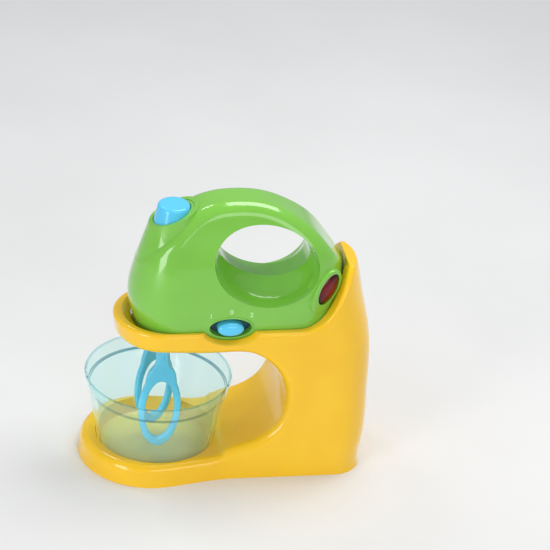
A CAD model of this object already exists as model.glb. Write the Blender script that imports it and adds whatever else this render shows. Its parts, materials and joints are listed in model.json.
import json
import math

import bmesh
import bpy
from mathutils import Matrix, Vector
from mathutils.bvhtree import BVHTree


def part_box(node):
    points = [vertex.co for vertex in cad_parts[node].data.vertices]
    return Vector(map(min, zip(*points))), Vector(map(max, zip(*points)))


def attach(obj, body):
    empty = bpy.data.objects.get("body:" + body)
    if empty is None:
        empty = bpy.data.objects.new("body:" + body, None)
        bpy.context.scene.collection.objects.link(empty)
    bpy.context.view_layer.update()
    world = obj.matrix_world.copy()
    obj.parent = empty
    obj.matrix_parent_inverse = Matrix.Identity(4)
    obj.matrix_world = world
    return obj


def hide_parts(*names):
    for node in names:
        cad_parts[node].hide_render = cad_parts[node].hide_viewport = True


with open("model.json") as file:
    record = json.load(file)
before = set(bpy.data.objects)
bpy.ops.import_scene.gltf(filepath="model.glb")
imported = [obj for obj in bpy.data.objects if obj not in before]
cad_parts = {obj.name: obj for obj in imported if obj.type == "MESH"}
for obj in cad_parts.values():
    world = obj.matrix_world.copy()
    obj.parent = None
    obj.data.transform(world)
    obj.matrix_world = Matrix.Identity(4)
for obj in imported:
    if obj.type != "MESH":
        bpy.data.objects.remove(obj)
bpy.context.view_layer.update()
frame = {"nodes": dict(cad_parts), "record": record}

nodes = frame["nodes"]
mm = 0.001
upAxis = Vector((0, 0, 1))
print("frame loaded,", len(nodes), "nodes")

bowlLow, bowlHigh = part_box("bowl")
bowlX = (bowlLow.x + bowlHigh.x) / 2  # the bowl's axis


# Materials

# scale and detail of each noise
noises = {
    "flow": (28, 2),
    "haze": (90, 3),
    "peel": (420, 2),
    "cloud": (22, 2),
    "scuffs": (240, 4),
    "lensScuffs": (300, 3),
    "floorGrain": (6, 3),
}
# where a look has pairs, they are a level of its noise and the share of colour or roughness there
plasticLook = {
    "flowLevels": (0.25, 0.75),
    "haze": ((0.2, 0.88), (0.8, 1.15)),
    "peelStrength": 0.03,
    "peelHeight": 0.4 * mm,
    "specular": 0.3,
    "coatRoughness": 0.05,
}
clearLook = {
    "cloud": ((0.3, 0.985), (0.7, 1.01)),
    "scuffs": ((0.4, 0.7), (0.8, 2.2)),
    "coat": 0.5,
    "coatRoughness": 0.03,
    "shadow": 0.97,             # share of its colour that tints its shadow
}
lensLook = {
    "edgeLevel": 0.05,
    "heartLevel": 0.62,
    "roughness": 0.05,
    "scuffs": ((0.3, 1.0), (0.8, 2.4)),
    "specular": 0.25,
    "coat": 0.35,
    "coatRoughness": 0.03,
}
steelLook = {
    "lineScale": 900,
    "stretch": (0.08, 1.0, 1.0),
    "streaks": ((0.3, 0.86), (0.7, 1.08)),
    "polish": ((0.3, 0.8), (0.7, 1.3)),
}


def newMaterial(name):
    material = bpy.data.materials.new(name)
    material.use_nodes = True
    tree = material.node_tree
    return material, tree.nodes, tree.links, tree.nodes["Principled BSDF"]


def objectNoise(nodeSet, links, pattern):
    # noise on Object coordinates, so that it stays with the piece
    coordinates = nodeSet.new("ShaderNodeTexCoord")
    noise = nodeSet.new("ShaderNodeTexNoise")
    scale, detail = noises[pattern]
    noise.inputs["Scale"].default_value = scale
    noise.inputs["Detail"].default_value = detail
    links.new(coordinates.outputs["Object"], noise.inputs["Vector"])
    return noise.outputs["Fac"]


def ramp(nodeSet, links, source, stops):
    node = nodeSet.new("ShaderNodeValToRGB")
    elements = node.color_ramp.elements
    for index, (position, colour) in enumerate(stops):
        if index == len(elements):
            elements.new(position)
        elements[index].position, elements[index].color = position, colour
    links.new(source, node.inputs["Fac"])
    return node.outputs["Color"]


def shade(colour, factor):
    return (*[min(1.0, channel * factor) for channel in colour[:3]], 1.0)


def varyColour(nodeSet, links, source, colour, shares):
    stops = [(level, shade(colour, share)) for level, share in shares]
    return ramp(nodeSet, links, source, stops)


def varyRoughness(nodeSet, links, shader, source, roughness, shares):
    stops = [(level, (roughness * share,) * 3 + (1,)) for level, share in shares]
    links.new(ramp(nodeSet, links, source, stops), shader.inputs["Roughness"])


def plastic(name, colour, roughness=0.2, coat=0.6, swirl=0.05):
    # moulded plastic: faint flow marks in the colour, and a skin that isn't quite flat
    material, nodeSet, links, shader = newMaterial(name)
    flow = objectNoise(nodeSet, links, "flow")
    marks = zip(plasticLook["flowLevels"], (1 - swirl, 1 + swirl))
    links.new(varyColour(nodeSet, links, flow, colour, marks), shader.inputs["Base Color"])
    haze = objectNoise(nodeSet, links, "haze")
    varyRoughness(nodeSet, links, shader, haze, roughness, plasticLook["haze"])
    bump = nodeSet.new("ShaderNodeBump")
    bump.inputs["Strength"].default_value = plasticLook["peelStrength"]
    bump.inputs["Distance"].default_value = plasticLook["peelHeight"]
    links.new(objectNoise(nodeSet, links, "peel"), bump.inputs["Height"])
    links.new(bump.outputs["Normal"], shader.inputs["Normal"])
    shader.inputs["Specular IOR Level"].default_value = plasticLook["specular"]
    shader.inputs["Coat Weight"].default_value = coat
    shader.inputs["Coat Roughness"].default_value = plasticLook["coatRoughness"]
    return material


def tintByHeight(nodeSet, links, surface, bands, low, high):
    # multiplies a colour by tints that change with height; bands are (mm above low, tint)
    coordinates = nodeSet.new("ShaderNodeTexCoord")
    split = nodeSet.new("ShaderNodeSeparateXYZ")
    heights = nodeSet.new("ShaderNodeMapRange")
    heights.inputs["From Min"].default_value = low
    heights.inputs["From Max"].default_value = high
    links.new(coordinates.outputs["Object"], split.inputs["Vector"])
    links.new(split.outputs["Z"], heights.inputs["Value"])
    stops = [(height * mm / (high - low), (*tint, 1)) for height, tint in bands]
    rings = ramp(nodeSet, links, heights.outputs["Result"], stops)
    deepen = nodeSet.new("ShaderNodeMix")
    deepen.data_type = "RGBA"
    deepen.blend_type = "MULTIPLY"
    deepen.inputs["Factor"].default_value = 1.0
    links.new(surface, deepen.inputs["A"])
    links.new(rings, deepen.inputs["B"])
    return deepen.outputs["Result"]


def clearPlastic(name, colour, ior, transmission=0.9, roughness=0.02, bands=(), span=()):
    # see-through plastic, tinted by bands over the heights of span
    material, nodeSet, links, shader = newMaterial(name)
    cloud = objectNoise(nodeSet, links, "cloud")
    surface = varyColour(nodeSet, links, cloud, colour, clearLook["cloud"])
    if bands:
        surface = tintByHeight(nodeSet, links, surface, bands, *span)
    links.new(surface, shader.inputs["Base Color"])
    scuffs = objectNoise(nodeSet, links, "scuffs")
    varyRoughness(nodeSet, links, shader, scuffs, roughness, clearLook["scuffs"])
    shader.inputs["Transmission Weight"].default_value = transmission
    shader.inputs["IOR"].default_value = ior
    shader.inputs["Coat Weight"].default_value = clearLook["coat"]
    shader.inputs["Coat Roughness"].default_value = clearLook["coatRoughness"]
    # lamps reach what stands behind it
    lightPath = nodeSet.new("ShaderNodeLightPath")
    through = nodeSet.new("ShaderNodeBsdfTransparent")
    through.inputs["Color"].default_value = shade(colour, clearLook["shadow"])
    either = nodeSet.new("ShaderNodeMixShader")
    links.new(lightPath.outputs["Is Shadow Ray"], either.inputs["Fac"])
    links.new(shader.outputs["BSDF"], either.inputs[1])
    links.new(through.outputs["BSDF"], either.inputs[2])
    links.new(either.outputs["Shader"], nodeSet["Material Output"].inputs["Surface"])
    return material


def lensPlastic(name, heart, edge, centre, reach):
    # a domed red lens, deeper in colour away from its centre
    material, nodeSet, links, shader = newMaterial(name)
    coordinates = nodeSet.new("ShaderNodeTexCoord")
    place = nodeSet.new("ShaderNodeMapping")
    place.vector_type = "TEXTURE"
    place.inputs["Location"].default_value = centre
    place.inputs["Scale"].default_value = (reach,) * 3
    fade = nodeSet.new("ShaderNodeTexGradient")
    fade.gradient_type = "SPHERICAL"
    links.new(coordinates.outputs["Object"], place.inputs["Vector"])
    links.new(place.outputs["Vector"], fade.inputs["Vector"])
    stops = [(lensLook["edgeLevel"], (*edge, 1)), (lensLook["heartLevel"], (*heart, 1))]
    links.new(ramp(nodeSet, links, fade.outputs["Fac"], stops), shader.inputs["Base Color"])
    scuffs = objectNoise(nodeSet, links, "lensScuffs")
    varyRoughness(nodeSet, links, shader, scuffs, lensLook["roughness"], lensLook["scuffs"])
    shader.inputs["Specular IOR Level"].default_value = lensLook["specular"]
    shader.inputs["Coat Weight"].default_value = lensLook["coat"]
    shader.inputs["Coat Roughness"].default_value = lensLook["coatRoughness"]
    return material


def metal(name, colour, roughness=0.3):
    # drawn steel, with fine lines along X
    material, nodeSet, links, shader = newMaterial(name)
    coordinates = nodeSet.new("ShaderNodeTexCoord")
    stretch = nodeSet.new("ShaderNodeMapping")
    stretch.inputs["Scale"].default_value = steelLook["stretch"]
    lines = nodeSet.new("ShaderNodeTexNoise")
    lines.inputs["Scale"].default_value = steelLook["lineScale"]
    links.new(coordinates.outputs["Object"], stretch.inputs["Vector"])
    links.new(stretch.outputs["Vector"], lines.inputs["Vector"])
    level = lines.outputs["Fac"]
    streaks = varyColour(nodeSet, links, level, colour, steelLook["streaks"])
    links.new(streaks, shader.inputs["Base Color"])
    varyRoughness(nodeSet, links, shader, level, roughness, steelLook["polish"])
    shader.inputs["Metallic"].default_value = 1.0
    return material


# tint at heights on the bowl, in mm from its foot: the foot, the wall, the step's line, the lip
bowlBands = [
    (0.0, (0.80, 0.95, 0.88)),
    (2.2, (0.95, 0.985, 0.88)),
    (9.0, (0.95, 0.985, 0.88)),
    (17.0, (0.81, 0.99, 1.0)),
    (47.2, (0.81, 0.99, 1.0)),
    (47.4, (0.03, 0.20, 0.28)),
    (48.2, (0.03, 0.20, 0.28)),
    (48.5, (0.85, 0.995, 1.0)),
    (57.4, (0.85, 0.995, 1.0)),
    (57.9, (0.38, 0.70, 0.78)),
]
lensLow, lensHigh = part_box("lamp_lens")
lensCentre = (lensLow + lensHigh) / 2
lensReach = 11.5 * mm
brightBlue = (0.10, 0.62, 0.95)
finishes = {
    "stand": plastic("standYellow", (1.0, 0.575, 0.010)),
    "housing": plastic("housingGreen", (0.205, 0.56, 0.056), coat=1.0),
    "numeral": plastic("numeralGreen", (0.50, 0.84, 0.34), roughness=0.35),
    "shield": plastic("shieldTeal", (0.004, 0.075, 0.095), roughness=0.35, coat=0.2, swirl=0.15),
    "button": plastic("buttonBlue", brightBlue),
    "knob": plastic("knobBlue", brightBlue),
    "beater": plastic("beaterBlue", (0.12, 0.57, 0.80), roughness=0.26),
    "clear_bowl": clearPlastic("bowlAqua", (0.955, 0.992, 0.995), ior=1.02, transmission=0.935,
                               bands=bowlBands, span=(bowlLow.z, bowlHigh.z)),
    "lens": lensPlastic("lensRed", (0.20, 0.002, 0.008), (0.010, 0.0, 0.001), lensCentre, lensReach),
    "led": clearPlastic("ledClear", (0.9, 0.35, 0.3), ior=1.45),
    "inner_white": plastic("naturalWhite", (0.78, 0.77, 0.72), roughness=0.45, coat=0.0),
    "inner_black": plastic("innerBlack", (0.02, 0.02, 0.022), roughness=0.5, coat=0.0, swirl=0.2),
    "board": plastic("boardBrown", (0.32, 0.17, 0.06), roughness=0.6, coat=0.0, swirl=0.2),
    "steel": metal("plainSteel", (0.56, 0.56, 0.57)),
    "cell": plastic("cellSleeve", (0.05, 0.055, 0.07), roughness=0.3, swirl=0.15),
    "spring_steel": metal("springSteel", (0.48, 0.48, 0.50), 0.25),
}
print("materials made")


# Pieces

# distances within which points count as one
near = {
    "cad": 0.002 * mm,
    "spun": 0.01 * mm,
    "cut": 0.001 * mm,
    "drawn": 0.001 * mm,
    "unitSphere": 0.001,        # of its radius
}


def pieceFrom(name, bm, finish, body, replaced=(), sharp=40):
    # an edge stays hard where it turns by at least sharp, in degrees
    mesh = bpy.data.meshes.new(name)
    for face in bm.faces:
        face.smooth = True
    for edge in bm.edges:
        edge.smooth = edge.is_manifold and edge.calc_face_angle(0) < math.radians(sharp)
    bm.to_mesh(mesh)
    bm.free()
    if "custom_normal" in mesh.attributes:
        mesh.attributes.remove(mesh.attributes["custom_normal"])
    mesh.materials.clear()
    mesh.materials.append(finishes[finish])
    piece = bpy.data.objects.new(name, mesh)
    bpy.context.scene.collection.objects.link(piece)
    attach(piece, body)
    if replaced:
        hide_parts(*replaced)
    return piece


def weightNormals(piece):
    modifier = piece.modifiers.new("weighted", "WEIGHTED_NORMAL")
    modifier.mode = "FACE_AREA_WITH_ANGLE"
    modifier.keep_sharp = True


def mergedCopy(node):
    bm = bmesh.new()
    bm.from_mesh(nodes[node].data)
    bmesh.ops.remove_doubles(bm, verts=bm.verts, dist=near["cad"])
    return bm


# node: its copy's name, finish, body and sharp angle
shells = {
    "stand_left_shell": ("standLeft", "stand", "stand", 28),
    "stand_right_shell": ("standRight", "stand", "stand", 28),
    "mixer_left_shell": ("housingLeft", "housing", "mixer", 28),
    "mixer_right_shell": ("housingRight", "housing", "mixer", 28),
    "left_beater": ("paddleLeft", "beater", "left_beater", 40),
    "right_beater": ("paddleRight", "beater", "right_beater", 40),
    "eject_button": ("pushButton", "button", "eject", 35),
}
for node, (name, finish, body, sharp) in shells.items():
    weightNormals(pieceFrom(name, mergedCopy(node), finish, body, [node], sharp))
print("shells dressed")


# Bowl: foot, wall, step, flared band, round lip and the inside again

bowl = {
    "rimRadius": 49.8 * mm,
    "rimWall": 1.7 * mm,
    "bandHeight": 11 * mm,
    "bandFlare": 1.9 * mm,
    "bandStep": 1.1 * mm,
    "footRadius": 38.6 * mm,
    "footRound": 5.5 * mm,
    "footSpread": 0.6 * mm,
    "crown": 1.2 * mm,          # rise of the floor's middle
    "wall": 1.8 * mm,
    "height": 58.5 * mm,
    "innerStepDrop": 1.4 * mm,
    "leanShare": 0.6,           # of the wall's lean, where the foot's round ends
    "sharp": 35,
    "steps": 128,
    "footSteps": 8,
    "lipSteps": 10,
    # radius from the foot's, and height from the floor
    "underside": ((-9.0 * mm, 1.2 * mm), (-8.4 * mm, 0.9 * mm), (-8.0 * mm, 0.0)),
    # radius from the wall's top, and height from the band's lower edge
    "stepLow": ((0.0, -1.0 * mm), (0.3 * mm, -0.25 * mm)),
    # radius from the band's, and height from its lower edge
    "stepHigh": ((-0.25 * mm, 0.0), (0.0, 0.35 * mm)),
}


def arcPoints(centre, radius, fromAngle, toAngle, count):
    # points of an arc as radius and height, angles in degrees from outward
    points = []
    for step in range(count + 1):
        angle = math.radians(fromAngle + (toAngle - fromAngle) * step / count)
        points.append((centre[0] + radius * math.cos(angle), centre[1] + radius * math.sin(angle)))
    return points


def spinProfile(points, axis, steps, closed=False):
    # a bmesh turned from a profile about a vertical line
    bm = bmesh.new()
    verts = [bm.verts.new(point) for point in points]
    pairs = zip(verts, verts[1:] + verts[:1]) if closed else zip(verts, verts[1:])
    edges = [bm.edges.new(pair) for pair in pairs]
    bmesh.ops.spin(bm, geom=verts + edges, cent=axis, axis=upAxis, angle=math.tau, steps=steps,
                   use_merge=True, use_normal_flip=False, use_duplicate=False)
    bmesh.ops.remove_doubles(bm, verts=bm.verts, dist=near["spun"])
    bmesh.ops.recalc_face_normals(bm, faces=bm.faces)
    return bm


def makeBowl():
    floor, foot, wall = bowlLow.z, bowl["footRadius"], bowl["wall"]
    top, rise = floor + bowl["height"], bowl["height"] - bowl["bandHeight"]
    bandLow = top - bowl["bandHeight"]
    bandRadius = bowl["rimRadius"] - bowl["bandFlare"]
    wallTop = bandRadius - bowl["bandStep"]
    lean = math.degrees(math.atan2(wallTop - foot, rise)) * bowl["leanShare"]
    turn, lip = bowl["footRound"], bowl["rimWall"] / 2
    hollow = turn - wall / 2
    outerTurn = (foot - turn + bowl["footSpread"], floor + turn)
    innerTurn = (foot - wall - hollow + bowl["footSpread"], floor + wall + hollow)
    points = [(0, floor + bowl["crown"])]
    points += [(foot + out, floor + up) for out, up in bowl["underside"]]
    points += arcPoints(outerTurn, turn, -90, -lean, bowl["footSteps"])
    points += [(wallTop + out, bandLow + up) for out, up in bowl["stepLow"]]
    points += [(bandRadius + out, bandLow + up) for out, up in bowl["stepHigh"]]
    points += arcPoints((bowl["rimRadius"] - lip, top - lip), lip, 0, 180, bowl["lipSteps"])
    points += [(bandRadius - wall, bandLow), (wallTop - wall, bandLow - bowl["innerStepDrop"])]
    points += arcPoints(innerTurn, hollow, -lean, -90, bowl["footSteps"])
    points += [(0, floor + wall + bowl["crown"])]
    section = [Vector((bowlX + radius, 0, height)) for radius, height in points]
    bm = spinProfile(section, (bowlX, 0, 0), bowl["steps"])
    pieceFrom("bowlClear", bm, "clear_bowl", "bowl", ["bowl"], bowl["sharp"])


makeBowl()
print("bowl made")


# Lamp lens and switch knob: oval domes on a skirt

# facing is in degrees from +X, and lean is that of the length from upright
lamp = {
    "halfWidth": 7.0 * mm,
    "halfLength": 11.3 * mm,
    "dome": 2.6 * mm,
    "skirt": 1.9 * mm,
    "facing": -60.0,
    "lean": 33.0,
    "standOff": 0.5 * mm,
}
knob = {
    "halfWidth": 4.95 * mm,
    "halfLength": 8.8 * mm,
    "dome": 3.3 * mm,
    "skirt": 5.0 * mm,
    "facing": -90.0,
    "lean": 90.0,
}
domes = {"segments": 72, "rings": 44, "sharp": 35}


def outward(facing):
    angle = math.radians(facing)
    return Vector((math.cos(angle), math.sin(angle), 0))


def stood(across, length, out, place):
    # the matrix that puts an item's own X, Y and Z along these three
    pose = Matrix((across, length, out)).transposed().to_4x4()
    pose.translation = place
    return pose


def makeDome(name, shape, centre, finish, body, replaced):
    # centre is the middle of the dome's rim
    bm = bmesh.new()
    bmesh.ops.create_uvsphere(bm, u_segments=domes["segments"], v_segments=domes["rings"],
                              radius=1.0)
    bmesh.ops.bisect_plane(bm, geom=bm.verts[:] + bm.edges[:] + bm.faces[:],
                           dist=near["unitSphere"], plane_co=(0, 0, 0), plane_no=upAxis,
                           clear_inner=True)
    rim = [edge for edge in bm.edges if edge.is_boundary]
    size = (shape["halfWidth"], shape["halfLength"], shape["dome"])
    bmesh.ops.scale(bm, vec=size, verts=bm.verts)
    skirt = bmesh.ops.extrude_edge_only(bm, edges=rim)["geom"]
    foot = [item for item in skirt if isinstance(item, bmesh.types.BMVert)]
    bmesh.ops.translate(bm, vec=(0, 0, -shape["skirt"]), verts=foot)
    bmesh.ops.contextual_create(bm, geom=[edge for edge in bm.edges if edge.is_boundary])
    bmesh.ops.recalc_face_normals(bm, faces=bm.faces)
    lean, out = math.radians(shape["lean"]), outward(shape["facing"])
    length = upAxis * math.cos(lean) + upAxis.cross(out) * math.sin(lean)
    bmesh.ops.transform(bm, matrix=stood(length.cross(out), length, out, centre), verts=bm.verts)
    pieceFrom(name, bm, finish, body, [replaced], domes["sharp"])


lensPlace = lensCentre + outward(lamp["facing"]) * lamp["standOff"]
makeDome("lampLens", lamp, lensPlace, "lens", "mixer", "lamp_lens")
knobLow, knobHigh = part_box("switch_knob")
knobX, knobZ = (knobLow.x + knobHigh.x) / 2, (knobLow.z + knobHigh.z) / 2
knobPlace = Vector((knobX, knobLow.y + knob["dome"], knobZ))
makeDome("slideKnob", knob, knobPlace, "knob", "switch", "switch_knob")


# Liner in the collar, which follows the button's taper up to the sloping edge

liner = {
    "outerRadius": 13.15 * mm,
    "innerRadius": 10.8 * mm,   # at the height of the button's top
    "depth": 11.4 * mm,
    "rise": 0.5 * mm,
    "edgeDrop": 6.85 * mm,      # from the button's top to the cut at its middle
    "tilt": 24.7,               # of the cut from level, in degrees
    "sharp": 30,
    "steps": 96,
}


def makeLiner():
    low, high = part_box("eject_button")
    middle = Vector(((low.x + high.x) / 2, 0, high.z))
    section = ((liner["outerRadius"], -liner["depth"]), (liner["outerRadius"], liner["rise"]),
               (liner["innerRadius"], liner["rise"]))
    points = [middle + Vector((radius, 0, height)) for radius, height in section]
    bm = spinProfile(points, middle, liner["steps"], closed=True)
    tilt = math.radians(liner["tilt"])
    bmesh.ops.bisect_plane(bm, geom=bm.verts[:] + bm.edges[:] + bm.faces[:], dist=near["cut"],
                           plane_co=middle - upAxis * liner["edgeDrop"],
                           plane_no=(-math.sin(tilt), 0, math.cos(tilt)), clear_outer=True)
    bmesh.ops.contextual_create(bm, geom=[edge for edge in bm.edges if edge.is_boundary])
    bmesh.ops.recalc_face_normals(bm, faces=bm.faces)
    pieceFrom("collarLiner", bm, "housing", "mixer", sharp=liner["sharp"])


makeLiner()


# Shield on the floor of the switch's well, with a slot for the knob's stem

shield = {
    "half": (13.9 * mm, 6.7 * mm),
    "slot": (8.6 * mm, 2.3 * mm),
    "thickness": 0.12 * mm,
    "behindFront": 8.46 * mm,   # from the knob's front
    "rise": 0.5 * mm,           # the well's middle over the knob's
    "segments": 72,
}


def makeShield():
    bm = bmesh.new()
    for half in (shield["half"], shield["slot"]):
        ring = bmesh.ops.create_circle(bm, segments=shield["segments"], radius=1.0)
        bmesh.ops.scale(bm, vec=(*half, 1), verts=ring["verts"])
    bmesh.ops.bridge_loops(bm, edges=bm.edges[:])
    bmesh.ops.recalc_face_normals(bm, faces=bm.faces)
    bmesh.ops.solidify(bm, geom=bm.faces[:], thickness=shield["thickness"])
    pose = Matrix.Rotation(math.radians(90), 4, "X")
    pose.translation = (knobX, knobLow.y + shield["behindFront"], knobZ + shield["rise"])
    bmesh.ops.transform(bm, matrix=pose, verts=bm.verts)
    bmesh.ops.recalc_face_normals(bm, faces=bm.faces)
    pieceFrom("switchShield", bm, "shield", "mixer")


makeShield()


# Plain raised numerals over the switch

numerals = {
    # each with its place from the well's middle
    "marks": (("1", -13.6 * mm, 9.4 * mm), ("0", 0.0, 12.0 * mm), ("2", 13.6 * mm, 9.4 * mm)),
    "size": 4.6 * mm,
    "boldness": 0.18 * mm,
    "relief": 0.3 * mm,
    "startBefore": 20 * mm,     # the flank is looked for from this far before the knob
}


def drawNumeral(mark):
    font = bpy.data.curves.new("numeral" + mark, "FONT")
    font.body = mark
    font.size = numerals["size"]
    font.offset = numerals["boldness"]
    font.extrude = numerals["relief"]
    font.align_x, font.align_y = "CENTER", "CENTER"
    drawn = bpy.data.objects.new("drawn" + mark, font)
    bpy.context.scene.collection.objects.link(drawn)
    bpy.context.view_layer.update()
    graph = bpy.context.evaluated_depsgraph_get()
    mesh = bpy.data.meshes.new_from_object(drawn.evaluated_get(graph))
    bpy.data.objects.remove(drawn)
    bm = bmesh.new()
    bm.from_mesh(mesh)
    bpy.data.meshes.remove(mesh)
    bmesh.ops.remove_doubles(bm, verts=bm.verts, dist=near["drawn"])
    return bm


def makeNumeral(mark, across, up, surface):
    start = Vector((knobX + across, knobLow.y - numerals["startBefore"],
                    knobZ + shield["rise"] + up))
    spot, normal, _, _ = surface.ray_cast(start, Vector((0, 1, 0)))
    upward = (upAxis - normal * normal.z).normalized()
    bm = drawNumeral(mark)
    pose = stood(upward.cross(normal), upward, normal, spot)
    bmesh.ops.transform(bm, matrix=pose, verts=bm.verts)
    pieceFrom("numeral" + mark, bm, "numeral", "mixer")


flank = mergedCopy("mixer_left_shell")
surface = BVHTree.FromBMesh(flank)
for mark, across, up in numerals["marks"]:
    makeNumeral(mark, across, up, surface)
flank.free()
print("lens, switch, liner and numerals made")


# CAD nodes that keep their own shape

slotOf = {part["node"]: part["material_slot"] for part in frame["record"]["subparts"]}
for node, item in nodes.items():
    item.data.materials.clear()
    item.data.materials.append(finishes[slotOf[node]])
print("other nodes dressed")


# Stage, light and camera

ground = {
    "half": 4,
    "roughness": 0.7,
    "tints": [(0.3, (0.79, 0.79, 0.785, 1)), (0.7, (0.83, 0.83, 0.825, 1))],
}
# place, size and energy of each soft box; all look at the same spot
lights = {
    "topBox": ((0.34, 0.19, 1.08), (0.74, 0.52), 6.9),
    "cornerBox": ((-0.33, 0.52, 1.0), (0.26, 0.16), 0.9),
    "leftBox": ((-1.00, -0.85, 0.40), (0.45, 0.8), 5.8),
    "frontBox": ((0.35, -1.35, 0.70), (0.9, 0.6), 3.9),
}
lightTarget = Vector((0, 0, 0.1))
sky = {"colour": (0.95, 0.97, 1.0, 1), "strength": 0.46}
camera = {
    "place": (-294.4 * mm, -1464.5 * mm, 1011.9 * mm),
    "forward": (0.1869, 0.8432, -0.5041),
    "right": (0.9763, -0.2164, 0.0),
    "roll": 5.0,        # degrees about the line of sight
    "focal": 2600,      # in pixels of the image
    "imageWidth": 550,
    "sensor": 36,
    "clip": (0.1, 20),
}


def makeStage():
    bm = bmesh.new()
    bmesh.ops.create_grid(bm, x_segments=1, y_segments=1, size=ground["half"])
    mesh = bpy.data.meshes.new("floor")
    bm.to_mesh(mesh)
    bm.free()
    floor = bpy.data.objects.new("floor", mesh)
    bpy.context.scene.collection.objects.link(floor)
    material, nodeSet, links, shader = newMaterial("paleFloor")
    grain = objectNoise(nodeSet, links, "floorGrain")
    links.new(ramp(nodeSet, links, grain, ground["tints"]), shader.inputs["Base Color"])
    shader.inputs["Roughness"].default_value = ground["roughness"]
    mesh.materials.append(material)


def aim(item, place, forward, right, roll=0.0):
    # stands an item at place, looking along forward with its own X near right
    forward = forward.normalized()
    right = (right - forward * right.dot(forward)).normalized()
    up = right.cross(forward)
    turn = math.radians(roll)
    rightTurned = right * math.cos(turn) + up * math.sin(turn)
    upTurned = up * math.cos(turn) - right * math.sin(turn)
    item.matrix_world = stood(rightTurned, upTurned, -forward, Vector(place))


def makeLight(name, place, size, energy):
    data = bpy.data.lights.new(name, "AREA")
    data.shape = "RECTANGLE"
    data.size, data.size_y = size
    data.energy = energy
    item = bpy.data.objects.new(name, data)
    bpy.context.scene.collection.objects.link(item)
    aim(item, place, lightTarget - Vector(place), Vector((1, 0, 0)))


def makeCamera():
    data = bpy.data.cameras.new("camera")
    data.sensor_width = camera["sensor"]
    data.lens = camera["focal"] / camera["imageWidth"] * camera["sensor"]
    data.clip_start, data.clip_end = camera["clip"]
    item = bpy.data.objects.new("camera", data)
    bpy.context.scene.collection.objects.link(item)
    aim(item, camera["place"], Vector(camera["forward"]), Vector(camera["right"]), camera["roll"])
    bpy.context.scene.camera = item


def makeWorld():
    world = bpy.data.worlds.new("studio")
    bpy.context.scene.world = world
    world.use_nodes = True
    background = world.node_tree.nodes["Background"]
    background.inputs["Color"].default_value = sky["colour"]
    background.inputs["Strength"].default_value = sky["strength"]


makeStage()
for name, (place, size, energy) in lights.items():
    makeLight(name, place, size, energy)
makeCamera()
makeWorld()
bpy.context.scene.view_settings.view_transform = "Standard"
print("stage, lights and camera made")
